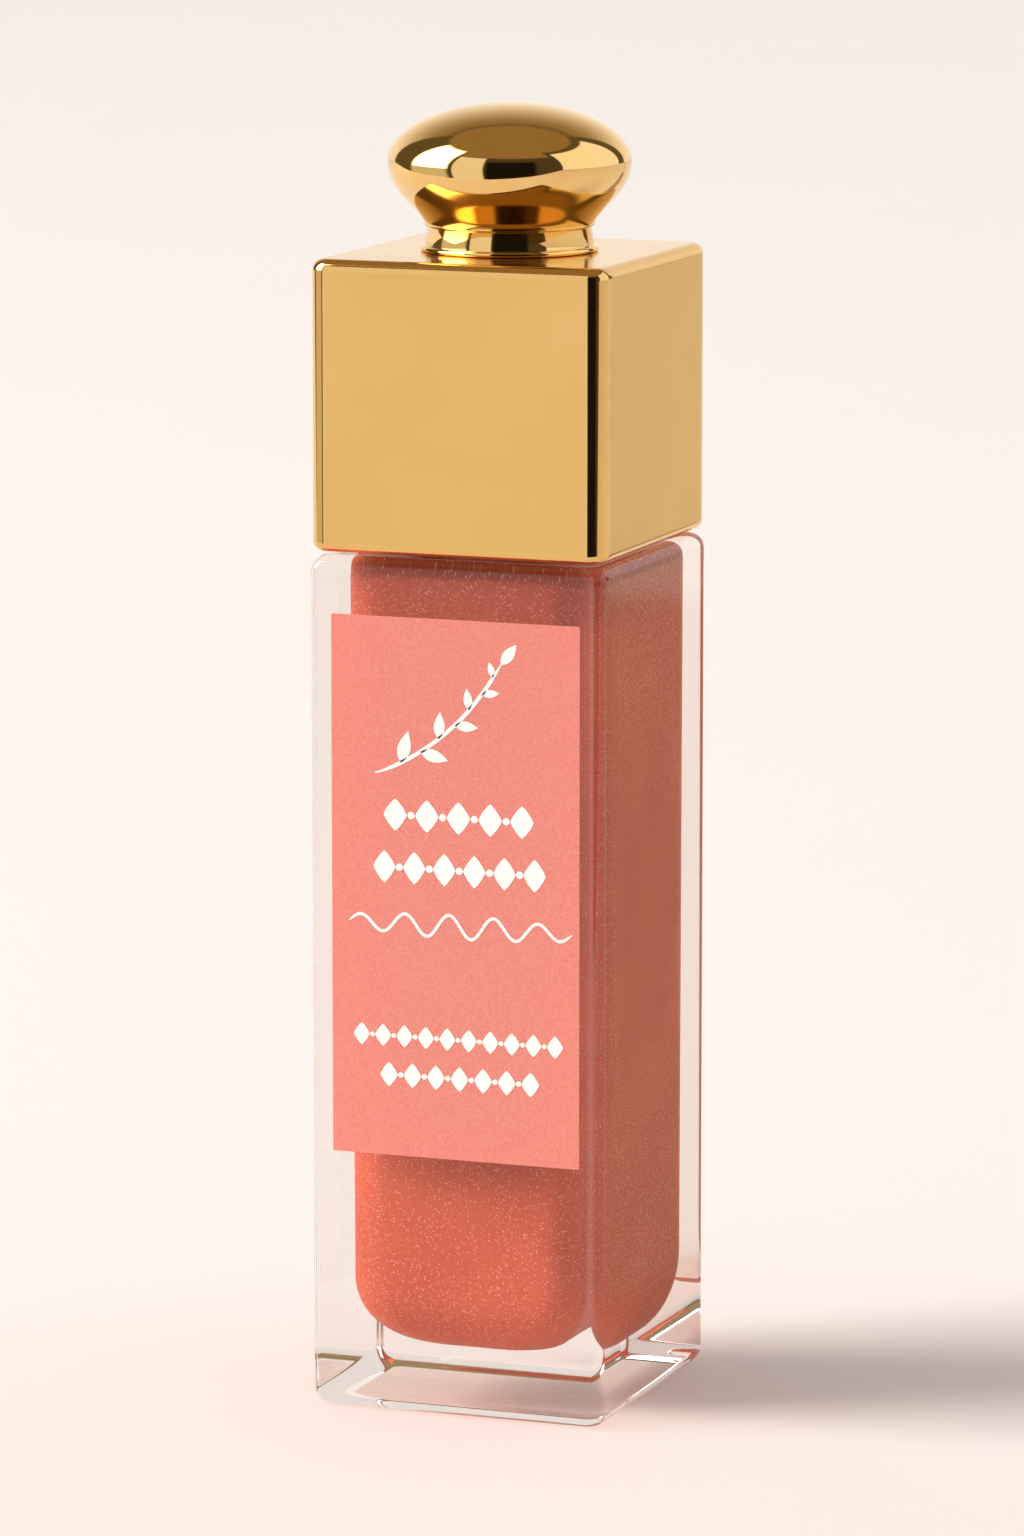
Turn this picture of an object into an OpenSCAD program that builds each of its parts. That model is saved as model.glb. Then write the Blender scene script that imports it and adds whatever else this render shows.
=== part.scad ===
// Square lip gloss tube: a threaded glass bottle with a wiper, closed by a square screw cap
// that carries a mushroom knob on top and the applicator wand below.
// Sizes are millimetres. The origin is the centre of the base, +Z is up and the label faces -Y.
// A name that ends in _z is a height above the base.

/* [Bottle] */
// Width of the square glass bottle
body_w = 20; // [20:0.1:21]
// Height of the glass up to its shoulder
shoulder_z = 55.8; // [55:0.1:57]
// Thickness of the side walls
glass_wall = 1.9; // [1.6:0.1:2.2]
// Thickness of the heavy base
glass_base = 3.9; // [3:0.1:5]
// Thickness of the shoulder above the gloss
glass_roof = 1.1; // [1:0.1:1.6]
// Radius along the four upright edges
glass_edge_r = 0.7; // [0.4:0.1:1]
// Radius around the foot
glass_foot_r = 1.2; // [0.6:0.1:1.5]
// Radius around the shoulder
glass_shoulder_r = 1; // [0.5:0.1:1]

/* [Neck and thread] */
// Height of the neck above the shoulder
neck_h = 10.4; // [10:0.1:10.8]
// Outer radius of the neck between the thread turns
neck_r = 5.7; // [5.6:0.05:5.8]
// Radius of the bore through the neck
bore_r = 4.3; // [4.2:0.05:4.4]
// Rise of the thread in one turn
thread_pitch = 2; // [1.8:0.1:2.2]
// Height of a thread ridge above its wall
thread_depth = 0.7; // [0.5:0.05:0.75]
// Angle that each thread ridge covers, in degrees
thread_sweep = 430; // [400:5:440]

/* [Cap] */
// Height of the cap shell
cap_h = 18.7; // [18.6:0.1:20]
// Gap between the shoulder and the cap
cap_gap = 0.2; // [0.1:0.05:0.5]
// Wall of the cap shell
cap_wall = 1.2; // [1:0.1:1.3]
// Radius along the cap's upright edges
cap_edge_r = 1.2; // [1:0.1:1.5]
// Radius around the cap's top
cap_top_r = 0.75; // [0.5:0.05:1]
// Radius around the cap's lower lip
cap_lip_r = 0.6; // [0.3:0.05:0.7]

/* [Knob] */
// Largest radius of the knob
knob_r = 7.83; // [7:0.01:8.5]
// Height of the knob above the cap
knob_h = 9.5; // [9.2:0.1:10]
// Radius of the band under the knob
knob_band_r = 5.35; // [5.2:0.05:5.4]
// Height of that band
knob_band_h = 1.25; // [1:0.05:1.4]
// Radius of the collar that seats the knob
collar_r = 5.75; // [5.6:0.05:6]
// Thickness of that collar
collar_t = 0.4; // [0.3:0.05:0.5]

/* [Wand] */
// Radius of the wand stem
stem_r = 1.8; // [1.6:0.05:1.85]
// Radius of the flocked tip
flock_r = 1.95; // [1.8:0.05:2]
// Height of the lowest point of the tip
tip_low_z = 7.5; // [7.2:0.1:9]
// Length of the flocked tip
flock_len = 12; // [10:0.5:14]

/* [Label] */
// Width of the label
label_w = 16.9; // [12:0.1:17]
// Height of the label
label_h = 35; // [20:0.5:36]
// Clear height between the label and the shoulder
label_drop = 3.7; // [1.5:0.1:6]
// Thickness of the label
label_t = 0.1; // [0.05:0.01:0.2]

/* [Hidden] */
$fn = 96;

// Play between pieces that sit in each other
skin = 0.05;
// How far a cutting shape runs past the surface that it cuts
over = 1;

// Bottle cavity
cavity_w = body_w - 2 * glass_wall;
cavity_low_z = glass_base;
cavity_high_z = shoulder_z - glass_roof;
cavity_edge_r = 2.6;
cavity_foot_r = 4.4;
cavity_roof_r = 0.5;

// Thread
lip_z = shoulder_z + neck_h;
lip_chamfer = 0.3;
thread_z = shoulder_z + 6;
ridge_base_w = 1.2;
ridge_tip_w = 0.5;
ridge_step_a = 7.5;
ridge_fade_a = 30;
cap_bore_r = neck_r + 0.85;

// Wiper
wiper_flange_r = 5.5;
wiper_flange_t = 0.9;
wiper_top_z = lip_z + wiper_flange_t;
wiper_plug_r = bore_r - skin;
wiper_low_z = shoulder_z;
wiper_hole_r = 2.15;
wiper_rib_w = 0.6;
wiper_groove = 0.25;

// Washer between the wiper and the cap
washer_r = 5.4;
washer_t = 1;
washer_low_z = wiper_top_z + skin;
washer_top_z = washer_low_z + washer_t;

// Inner cap
ceiling_low_z = washer_top_z + skin;
ceiling_t = 1.3;
ceiling_top_z = ceiling_low_z + ceiling_t;
inner_low_z = shoulder_z + cap_gap + 0.5;
inner_w = body_w - 2 * cap_wall - 0.2;
inner_r = 0.4;
liner_wall = 0.95;
flange_t = 0.9;
rib_t = 1;

// Cap shell
cap_low_z = shoulder_z + cap_gap;
cap_top_z = cap_low_z + cap_h;
shell_inner_w = body_w - 2 * cap_wall;
shell_inner_r = 0.5;
shell_roof_z = cap_top_z - cap_wall;

// Wand
head_r = 3.2;
head_t = 0.8;
head_top_z = ceiling_top_z + head_t;
flock_top_z = tip_low_z + flock_len;
stem_low_z = flock_top_z + 0.2;
core_r = 0.9;
core_low_z = tip_low_z + 3;
core_top_z = stem_low_z + 5;
flock_slant_a = 15;
flock_slant_z = tip_low_z + 5.5;
wand_bore_r = 2.35;
wand_bore_low_z = tip_low_z - 0.8;

// Coat of gloss on the stem
film_r = 2.02;
film_low_z = stem_low_z + 6;
film_top_z = cavity_high_z - 2;

// Weight and screw under the cap's roof
weight_w = shell_inner_w - 0.3;
weight_low_z = head_top_z + 0.2;
weight_top_z = shell_roof_z - skin;
screw_r = 1.22;
screw_hole_r = 1.35;
screw_head_r = 2.2;
screw_head_t = 1.45;
screw_socket_r = 0.85;
screw_socket_depth = 0.8;
screw_seat_z = weight_low_z + 1.6;
screw_len = 6.6;
pilot_r = 1.27;

// Knob
knob_low_z = cap_top_z + collar_t;
knob_top_z = cap_top_z + knob_h;
band_top_z = knob_low_z + knob_band_h;
knob_wide_z = knob_top_z - 3.8;
knob_shoulder_r = knob_band_r + 0.15;

// Label
label_low_z = shoulder_z - label_drop - label_h;
label_shift = 0.05;
label_corner_r = 0.2;

// ---- Shapes that several pieces share ----

// Square outline with round corners
module round_square(w, r) {
    square([w - 2 * r, w], center = true);
    square([w, w - 2 * r], center = true);
    for (x = [-1, 1], y = [-1, 1]) {
        translate([x * (w / 2 - r), y * (w / 2 - r)]) circle(r);
    }
}

// Upright outline of a box whose foot and top edges have their own radii
module side_outline(w, low, high, low_r, high_r) {
    translate([-w / 2, low + low_r]) square([w, high - low - low_r - high_r]);
    translate([-w / 2 + low_r, low]) square([w - 2 * low_r, low_r + 0.01]);
    translate([-w / 2 + high_r, high - high_r - 0.01]) square([w - 2 * high_r, high_r + 0.01]);
    for (x = [-1, 1]) {
        translate([x * (w / 2 - low_r), low + low_r]) circle(low_r);
        translate([x * (w / 2 - high_r), high - high_r]) circle(high_r);
    }
}

// Square box with rounded upright edges, foot and top
module round_box(w, low, high, edge_r, low_r, high_r) {
    intersection() {
        translate([0, 0, low]) linear_extrude(high - low) round_square(w, edge_r);
        rotate([90, 0, 0]) {
            linear_extrude(w + over, center = true) side_outline(w, low, high, low_r, high_r);
        }
        rotate([90, 0, 90]) {
            linear_extrude(w + over, center = true) side_outline(w, low, high, low_r, high_r);
        }
    }
}

// Square plate with rounded upright edges only
module round_plate(w, low, high, r) {
    translate([0, 0, low]) linear_extrude(high - low) round_square(w, r);
}

// Round bar between two heights
module bar(r, low, high) {
    translate([0, 0, low]) cylinder(r = r, h = high - low);
}

// Share of its full height that a ridge has at a degrees from its start
function ridge_fade(a, sweep) = min(1, a / ridge_fade_a, (sweep - a) / ridge_fade_a);

// The four corners of a ridge at the angle a; a positive depth stands out from the wall
function ridge_ring(a, z, wall_r, depth, fade) =
    let (base = wall_r - 0.5 * depth, tip = wall_r + depth * (1.2 * fade - 0.2))
    [
        for (corner = [[base, -ridge_base_w], [tip, -ridge_tip_w], [tip, ridge_tip_w], [base, ridge_base_w]])
            [corner[0] * cos(a), corner[0] * sin(a), z + corner[1] / 2]
    ];

// Right-hand helical ridge on a round wall, sunk a little into that wall
module thread_ridge(wall_r, depth, start_a, start_z, sweep) {
    steps = ceil(sweep / ridge_step_a);
    points = [
        for (i = [0 : steps])
            let (a = sweep * i / steps)
            each ridge_ring(start_a + a, start_z + thread_pitch * a / 360, wall_r, depth, ridge_fade(a, sweep))
    ];
    last = 4 * steps;
    faces = [
        [3, 2, 1],
        [3, 1, 0],
        [last, last + 1, last + 2],
        [last, last + 2, last + 3],
        for (i = [0 : steps - 1], j = [0 : 3])
            let (low = 4 * i, k = (j + 1) % 4)
            each [[low + j, low + k, low + 4 + k], [low + j, low + 4 + k, low + 4 + j]]
    ];
    turned = [for (face = faces) [face[2], face[1], face[0]]];
    polyhedron(points, depth > 0 ? faces : turned);
}

// ---- Pieces that stay with the bottle ----

// Heavy square glass bottle with a threaded neck
module bottle() {
    color([0.9, 0.93, 0.93, 0.45]) difference() {
        union() {
            round_box(body_w, 0, shoulder_z, glass_edge_r, glass_foot_r, glass_shoulder_r);
            bar(neck_r, shoulder_z - over, lip_z - lip_chamfer);
            translate([0, 0, lip_z - lip_chamfer]) {
                cylinder(r1 = neck_r, r2 = neck_r - lip_chamfer, h = lip_chamfer);
            }
            thread_ridge(neck_r, thread_depth, 0, thread_z, thread_sweep);
        }
        round_box(cavity_w, cavity_low_z, cavity_high_z, cavity_edge_r, cavity_foot_r, cavity_roof_r);
        bar(bore_r, cavity_high_z - over, lip_z + over);
    }
}

// Soft plug in the neck: its small hole wipes the stem as the wand is drawn out
module wiper() {
    mouth_r = 3.6;
    throat_z = wiper_low_z + 1;
    groove_r = wiper_plug_r - wiper_groove;
    outline = [
        [wiper_hole_r, wiper_low_z],
        [wiper_hole_r + 0.5, wiper_low_z],
        [wiper_plug_r, wiper_low_z + 3.5],
        for (i = [0 : 2])
            let (z = wiper_low_z + 3.5 + wiper_rib_w + 2 * wiper_rib_w * i)
            each [
                [wiper_plug_r, z],
                [groove_r, z + 0.1],
                [groove_r, z + wiper_rib_w - 0.1],
                [wiper_plug_r, z + wiper_rib_w]
            ],
        [wiper_plug_r, lip_z],
        [wiper_flange_r, lip_z],
        [wiper_flange_r, wiper_top_z - 0.15],
        [wiper_flange_r - 0.15, wiper_top_z],
        [mouth_r, wiper_top_z],
        [mouth_r - 0.3, wiper_top_z - 0.6],
        [mouth_r - 0.3, wiper_low_z + 4],
        [wiper_hole_r, throat_z]
    ];
    color([0.93, 0.93, 0.9]) rotate_extrude() polygon(outline);
}

// Gloss that fills the cavity, with the channel in which the wand stands
module gloss_fill() {
    color([0.86, 0.42, 0.32]) difference() {
        round_box(
            cavity_w - 2 * skin, cavity_low_z + skin, cavity_high_z - skin,
            cavity_edge_r - skin, cavity_foot_r - skin, cavity_roof_r - skin
        );
        bar(wand_bore_r, wand_bore_low_z, cavity_high_z + over);
    }
}

// Thin label on the front of the glass
module label() {
    color([0.91, 0.62, 0.55]) translate([label_shift, -body_w / 2, label_low_z]) rotate([90, 0, 0]) {
        linear_extrude(label_t) {
            translate([-label_w / 2 + label_corner_r, 0]) square([label_w - 2 * label_corner_r, label_h]);
            translate([-label_w / 2, label_corner_r]) square([label_w, label_h - 2 * label_corner_r]);
            for (x = [-1, 1], z = [label_corner_r, label_h - label_corner_r]) {
                translate([x * (label_w / 2 - label_corner_r), z]) circle(label_corner_r);
            }
        }
    }
}

// ---- Pieces that lift with the wand but don't turn ----

// Coat of gloss that clings to the stem
module gloss_film() {
    color([0.88, 0.45, 0.36]) difference() {
        bar(film_r, film_low_z, film_top_z);
        bar(stem_r + 0.04, film_low_z - over, film_top_z + over);
    }
}

// Foam washer that the cap squeezes against the wiper
module seal_washer() {
    color([0.95, 0.95, 0.93]) difference() {
        bar(washer_r, washer_low_z, washer_top_z);
        bar(stem_r + 0.15, washer_low_z - over, washer_top_z + over);
    }
}

// ---- Pieces that turn with the cap ----

// Square gold shell, open below
module cap_shell() {
    color([0.89, 0.72, 0.38]) difference() {
        round_box(body_w, cap_low_z, cap_top_z, cap_edge_r, cap_lip_r, cap_top_r);
        round_plate(shell_inner_w, cap_low_z - over, shell_roof_z, shell_inner_r);
        bar(screw_hole_r, shell_roof_z - over, cap_top_z + over);
    }
}

// Thin ring between the cap and the knob, with a rounded rim
module knob_collar() {
    rim_r = collar_t / 2;
    color([0.9, 0.73, 0.36]) difference() {
        rotate_extrude() {
            translate([0, cap_top_z]) square([collar_r - rim_r, collar_t]);
            translate([collar_r - rim_r, cap_top_z + rim_r]) circle(rim_r, $fn = 32);
        }
        bar(screw_hole_r, cap_top_z - over, knob_low_z + over);
    }
}

// Point at t on a cubic curve with the control points a, b, c and d
function cubic(a, b, c, d, t) =
    pow(1 - t, 3) * a + 3 * pow(1 - t, 2) * t * b + 3 * (1 - t) * t * t * c + pow(t, 3) * d;

// Flare from the shoulder above the band to the widest ring, then the domed top
function knob_outline() =
    let (
        rise = knob_wide_z - band_top_z,
        dome_h = knob_top_z - knob_wide_z,
        foot = [knob_shoulder_r, band_top_z + 0.1],
        foot_pull = [knob_shoulder_r + 0.05, band_top_z + 0.22 * rise],
        wide_pull = [knob_r, knob_wide_z - 0.5 * rise],
        wide = [knob_r, knob_wide_z]
    )
    [
        [0, knob_low_z],
        [knob_band_r, knob_low_z],
        [knob_band_r, band_top_z],
        for (i = [0 : 12]) cubic(foot, foot_pull, wide_pull, wide, i / 12),
        for (a = [6 : 6 : 90]) [knob_r * cos(a), knob_wide_z + dome_h * sin(a)]
    ];

// Solid mushroom knob with a blind hole for its screw
module knob() {
    color([0.93, 0.75, 0.36]) difference() {
        rotate_extrude() polygon(knob_outline());
        bar(pilot_r, knob_low_z - over, screw_seat_z + screw_len + 0.5);
    }
}

// Screw that clamps the weight, the shell and the collar to the knob
module knob_screw() {
    color("silver") difference() {
        union() {
            bar(screw_head_r, screw_seat_z - screw_head_t, screw_seat_z);
            bar(screw_r, screw_seat_z - 0.1, screw_seat_z + screw_len);
        }
        translate([0, 0, screw_seat_z - screw_head_t - over]) {
            cylinder(r = screw_socket_r, h = screw_socket_depth + over, $fn = 6);
        }
    }
}

// Steel block that gives the cap its weight
module cap_weight() {
    color([0.6, 0.61, 0.63]) difference() {
        round_plate(weight_w, weight_low_z, weight_top_z, shell_inner_r);
        bar(screw_hole_r, weight_low_z - over, weight_top_z + over);
        bar(screw_head_r + 0.15, weight_low_z - over, screw_seat_z);
    }
}

// Plastic core with the cap's thread, held in the shell by two flanges and eight ribs
module inner_cap() {
    liner_r = cap_bore_r + liner_wall;
    color([0.95, 0.94, 0.91]) {
        difference() {
            union() {
                round_plate(inner_w, inner_low_z, inner_low_z + flange_t, inner_r);
                round_plate(inner_w, ceiling_low_z, ceiling_top_z, inner_r);
                bar(liner_r, inner_low_z, ceiling_top_z);
                for (a = [0 : 90 : 270]) {
                    inner_rib(a, inner_w / 2);
                    inner_rib(a + 45, inner_w / 2 * sqrt(2) - 1);
                }
            }
            bar(cap_bore_r, inner_low_z - over, ceiling_low_z);
            bar(stem_r + skin, ceiling_low_z - over, ceiling_top_z + over);
        }
        thread_ridge(
            cap_bore_r, -thread_depth, 0, thread_z - thread_pitch / 2, thread_sweep
        );
    }
}

// Upright rib between the flanges, out to reach from the axis
module inner_rib(a, reach) {
    rotate(a) translate([cap_bore_r + liner_wall / 2, -rib_t / 2, inner_low_z]) {
        cube([reach - cap_bore_r - liner_wall / 2, rib_t, ceiling_top_z - inner_low_z]);
    }
}

// Stem of the wand, with the head that hangs in the inner cap
module wand_stem() {
    color([0.94, 0.93, 0.9]) difference() {
        union() {
            bar(stem_r, stem_low_z, ceiling_top_z + 0.1);
            bar(head_r, ceiling_top_z, head_top_z);
        }
        bar(core_r + skin, stem_low_z - over, core_top_z + 0.2);
    }
}

// Bendy core of the tip, pushed up into the stem
module tip_core() {
    color([0.9, 0.88, 0.84]) {
        bar(core_r, core_low_z + core_r, core_top_z);
        translate([0, 0, core_low_z + core_r]) sphere(core_r, $fn = 32);
    }
}

// Flocked doe-foot sleeve with a slanted face
module tip_flock() {
    color([0.93, 0.72, 0.64]) difference() {
        union() {
            bar(flock_r, tip_low_z + flock_r, flock_top_z - 0.4);
            translate([0, 0, tip_low_z + flock_r]) sphere(flock_r, $fn = 64);
            translate([0, 0, flock_top_z - 0.4]) cylinder(r1 = flock_r, r2 = flock_r - 0.3, h = 0.4);
        }
        bar(core_r + skin, core_low_z + core_r, flock_top_z + over);
        translate([0, 0, core_low_z + core_r]) sphere(core_r + skin, $fn = 32);
        translate([flock_r, 0, flock_slant_z]) rotate([0, flock_slant_a, 0]) {
            translate([0, -5, -12]) cube([10, 10, 12]);
        }
    }
}

bottle();
wiper();
gloss_fill();
label();
gloss_film();
seal_washer();
cap_shell();
knob_collar();
knob();
knob_screw();
cap_weight();
inner_cap();
wand_stem();
tip_core();
tip_flock();
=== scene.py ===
"""Looks of the square lip gloss tube: glass, gloss, label, gold cap, knob and applicator wand.

Shapes are worked out in millimetres and turned into metres when a mesh is made. The frame is the
CAD's: +Z up, the label on the -Y side, the origin under the middle of the foot.
"""
import math

import bpy
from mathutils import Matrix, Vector, noise


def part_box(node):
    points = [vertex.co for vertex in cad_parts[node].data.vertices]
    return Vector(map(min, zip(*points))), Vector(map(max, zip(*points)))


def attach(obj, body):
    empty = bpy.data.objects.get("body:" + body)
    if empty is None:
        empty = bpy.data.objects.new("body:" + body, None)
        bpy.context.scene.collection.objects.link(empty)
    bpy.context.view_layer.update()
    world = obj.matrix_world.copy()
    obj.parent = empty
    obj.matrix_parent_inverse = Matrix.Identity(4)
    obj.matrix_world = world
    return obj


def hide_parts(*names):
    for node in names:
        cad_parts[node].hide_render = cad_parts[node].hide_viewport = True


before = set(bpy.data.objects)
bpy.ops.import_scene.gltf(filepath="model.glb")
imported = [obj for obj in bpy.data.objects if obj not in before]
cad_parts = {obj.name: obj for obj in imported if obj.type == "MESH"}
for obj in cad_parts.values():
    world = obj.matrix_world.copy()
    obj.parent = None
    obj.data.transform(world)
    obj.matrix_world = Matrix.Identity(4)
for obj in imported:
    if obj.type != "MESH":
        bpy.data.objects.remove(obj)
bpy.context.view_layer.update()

MM = 0.001


def mm_box(node):
    """Lowest and highest corner of a CAD node, in millimetres."""
    low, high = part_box(node)
    return low / MM, high / MM


# ---- Sizes, in millimetres, read from the CAD nodes ----

CAP_LOW_Z = mm_box("cap_shell")[0].z
CAP_TOP_Z = mm_box("cap_shell")[1].z
HALF = mm_box("cap_shell")[1].x
CAP_GAP = 0.2
SHOULDER_Z = CAP_LOW_Z - CAP_GAP
LIP_Z = mm_box("bottle")[1].z
LABEL_LOW, LABEL_HIGH = mm_box("label")
COLLAR_LOW, COLLAR_HIGH = mm_box("knob_collar")
KNOB_LOW, KNOB_HIGH = mm_box("knob")
STEM_LOW, STEM_HIGH = mm_box("wand_stem")
FLOCK_LOW, FLOCK_HIGH = mm_box("tip_flock")
FILM_LOW, FILM_HIGH = mm_box("gloss_film")
WIPER_LOW, WIPER_HIGH = mm_box("wiper")

# Glass
GLASS_EDGE_R = 0.7
FOOT_R = 1.2
SHOULDER_R = 1.0
NECK_R = 5.7
NECK_ROOT_R = 0.5
LIP_R = 0.3
BORE_R = 4.3

# Cavity; its half widths are at the roof and at the foot
FLOOR_Z = 3.9
ROOF_T = 1.1
ROOF_Z = SHOULDER_Z - ROOF_T
CAVITY_TOP_HALF = 8.1
CAVITY_LOW_HALF = 7.95
CAVITY_EDGE_R = 2.6
CAVITY_FOOT_R = 4.4
CAVITY_ROOF_R = 0.5

# Gloss: the wand's channel, how far it wets into the glass, and its gap where it stands clear
CHANNEL_R = 2.35
GLOSS_WET = 0.03
GLOSS_GAP = 0.07

# Thread on the neck; the sweep and the fade at each end are in degrees
THREAD_Z = SHOULDER_Z + 6
THREAD_PITCH = 2.0
THREAD_DEPTH = 0.68
THREAD_SWEEP = 430
THREAD_FADE = 30
RIDGE_HALF_W = 0.6
RIDGE_FLANK_W = 0.35

# Cap
CAP_EDGE_R = 1.2
CAP_TOP_R = 0.75
CAP_LIP_R = 0.6
CAP_WALL = 1.2
CAP_INNER_R = 0.5
SCREW_HOLE_R = 1.35

# Knob
BAND_R = 5.35
BAND_H = 1.25
BAND_TAPER = 0.08
FLARE_LOW_R = 5.5
DOME_H = 3.8

# Points in a ring: four corners and four sides
PER_CORNER = 8
PER_SIDE = 24
RING = 4 * (PER_CORNER + PER_SIDE)

# A radius below this counts as a point on the axis
ON_AXIS = 1e-6


# ---- Rings and meshes ----

def arc(start, end, steps):
    """Angles in radians from start to end degrees, both ends included."""
    return [math.radians(start + (end - start) * i / steps) for i in range(steps + 1)]


def square_ring(half, corner, z):
    """Ring of points round a square with round corners, anticlockwise from above."""
    points = []
    straight = half - corner
    for quarter in range(4):
        turn = math.radians(90 * quarter)
        outline = [
            (straight + corner * math.cos(a), straight + corner * math.sin(a))
            for a in arc(0, 90, PER_CORNER)
        ]
        outline += [(straight - 2 * straight * i / PER_SIDE, half) for i in range(1, PER_SIDE)]
        for x, y in outline:
            points.append((
                x * math.cos(turn) - y * math.sin(turn),
                x * math.sin(turn) + y * math.cos(turn),
                z,
            ))
    return points


def ring_angle(i):
    """Angle in degrees of point i of a round ring, so that it lines up with a square ring's."""
    return 45 + (i - PER_CORNER / 2) * 360 / RING


def round_ring(radius, z, height=None):
    """Round ring that matches square_ring; height(angle, z) adds to the radius."""
    points = []
    for i in range(RING):
        angle = ring_angle(i)
        r = radius + (height(angle % 360, z) if height else 0)
        points.append((r * math.cos(math.radians(angle)), r * math.sin(math.radians(angle)), z))
    return points


def lathe_ring(radius, z, count):
    """Plain round ring with any number of points."""
    return [
        (radius * math.cos(2 * math.pi * i / count), radius * math.sin(2 * math.pi * i / count), z)
        for i in range(count)
    ]


def make_piece(name, points, faces, materials, body, nodes=(), sharp=35):
    """Mesh object from points in millimetres, smooth up to the sharp angle, riding on a body."""
    mesh = bpy.data.meshes.new(name)
    mesh.from_pydata([Vector(p) * MM for p in points], [], faces)
    mesh.validate()
    piece = bpy.data.objects.new(name, mesh)
    bpy.context.scene.collection.objects.link(piece)
    for polygon in mesh.polygons:
        polygon.use_smooth = True
    mesh.set_sharp_from_angle(angle=math.radians(sharp))
    for material in materials:
        mesh.materials.append(material)
    weighted = piece.modifiers.new("weighted", "WEIGHTED_NORMAL")
    weighted.keep_sharp = True
    if nodes:
        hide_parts(*nodes)
    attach(piece, body)
    return piece


def skin_rings(rings, close=False):
    """Points and faces of a surface over rings, with flat ends, or joined end to end by close."""
    count = len(rings[0])
    points = [p for ring in rings for p in ring]
    faces = []
    pairs = list(zip(range(len(rings) - 1), range(1, len(rings))))
    if close:
        pairs.append((len(rings) - 1, 0))
    for low, high in pairs:
        for i in range(count):
            j = (i + 1) % count
            faces.append((low * count + i, low * count + j, high * count + j, high * count + i))
    if not close:
        faces.append(tuple(reversed(range(count))))
        top = (len(rings) - 1) * count
        faces.append(tuple(range(top, top + count)))
    return points, faces


def lathe(outline, count=128):
    """Points and faces of a solid of revolution; an outline point on the axis is one vertex."""
    points, faces, rows = [], [], []
    for radius, z in outline:
        start = len(points)
        if radius < ON_AXIS:
            points.append((0, 0, z))
            rows.append([start] * count)
        else:
            points += lathe_ring(radius, z, count)
            rows.append(list(range(start, start + count)))
    hollow = outline[0][0] > ON_AXIS
    pairs = list(zip(rows, rows[1:] + rows[:1])) if hollow else list(zip(rows, rows[1:]))
    for low, high in pairs:
        for i in range(count):
            j = (i + 1) % count
            face = []
            for index in (low[i], low[j], high[j], high[i]):
                if index not in face:
                    face.append(index)
            if len(face) > 2:
                faces.append(tuple(face))
    return points, faces


# ---- Shader helpers ----

# A Mix node's colour sockets, by number because other sockets share their names
MIX_A, MIX_B, MIX_RESULT = 6, 7, 2


class Graph:
    """Adds nodes to a shader tree; an input may be a number, a colour or another node's output."""

    def __init__(self, tree):
        self.tree = tree
        tree.nodes.clear()

    def put(self, socket, value):
        if isinstance(value, bpy.types.NodeSocket):
            self.tree.links.new(value, socket)
        elif isinstance(value, (tuple, list)) and socket.type == "RGBA":
            socket.default_value = (*value[:3], 1)
        elif value is not None:
            socket.default_value = value

    def node(self, kind, inputs=None, **settings):
        made = self.tree.nodes.new(kind)
        for key, value in settings.items():
            setattr(made, key, value)
        for key, value in (inputs or {}).items():
            self.put(made.inputs[key], value)
        return made

    def math(self, operation, a, b=None, c=None):
        made = self.tree.nodes.new("ShaderNodeMath")
        made.operation = operation
        for socket, value in zip(made.inputs, (a, b, c)):
            self.put(socket, value)
        return made.outputs[0]

    def ramp(self, value, low, high, to_low=0.0, to_high=1.0, smooth=True):
        made = self.node(
            "ShaderNodeMapRange",
            {"Value": value, "From Min": low, "From Max": high, "To Min": to_low, "To Max": to_high},
        )
        made.interpolation_type = "SMOOTHSTEP" if smooth else "LINEAR"
        return made.outputs["Result"]

    def mix(self, factor, a, b):
        made = self.tree.nodes.new("ShaderNodeMix")
        made.data_type = "RGBA"
        self.put(made.inputs["Factor"], factor)
        self.put(made.inputs[MIX_A], a)
        self.put(made.inputs[MIX_B], b)
        return made.outputs[MIX_RESULT]

    def noise(self, vector, scale, detail=2.0, roughness=0.5):
        made = self.node(
            "ShaderNodeTexNoise",
            {"Vector": vector, "Scale": scale, "Detail": detail, "Roughness": roughness},
        )
        return made.outputs["Fac"]

    def cells(self, vector, scale, output="Distance"):
        made = self.node("ShaderNodeTexVoronoi", {"Vector": vector, "Scale": scale})
        return made.outputs[output]

    def bump(self, height, strength, distance_mm):
        made = self.node(
            "ShaderNodeBump",
            {"Height": height, "Strength": strength, "Distance": distance_mm * MM},
        )
        return made.outputs["Normal"]


def per_mm(count):
    """Texture scale that gives about count features in a millimetre."""
    return count / MM


def new_material(name):
    """Empty node material, its graph, and the position in the object's own space."""
    material = bpy.data.materials.new(name)
    material.use_nodes = True
    graph = Graph(material.node_tree)
    place = graph.node("ShaderNodeTexCoord").outputs["Object"]
    return material, graph, place


def finish_material(graph, shader):
    out = graph.node("ShaderNodeOutputMaterial")
    graph.tree.links.new(shader, out.inputs["Surface"])


def principled(graph, **inputs):
    """Principled shader; keyword names are its socket names with _ for a space."""
    made = graph.node("ShaderNodeBsdfPrincipled")
    for key, value in inputs.items():
        graph.put(made.inputs[key.replace("_", " ")], value)
    return made.outputs[0]


# ---- Materials ----

GOLD = (0.81, 0.505, 0.18)
GOLD_DEEP = (0.785, 0.475, 0.155)
CORAL = (0.55, 0.091, 0.047)
CORAL_LIGHT = (0.62, 0.113, 0.059)
CORAL_SHADED = (0.30, 0.035, 0.018)
PEARL = (1.0, 0.62, 0.48)
FLAKES_PER_MM = 7


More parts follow.
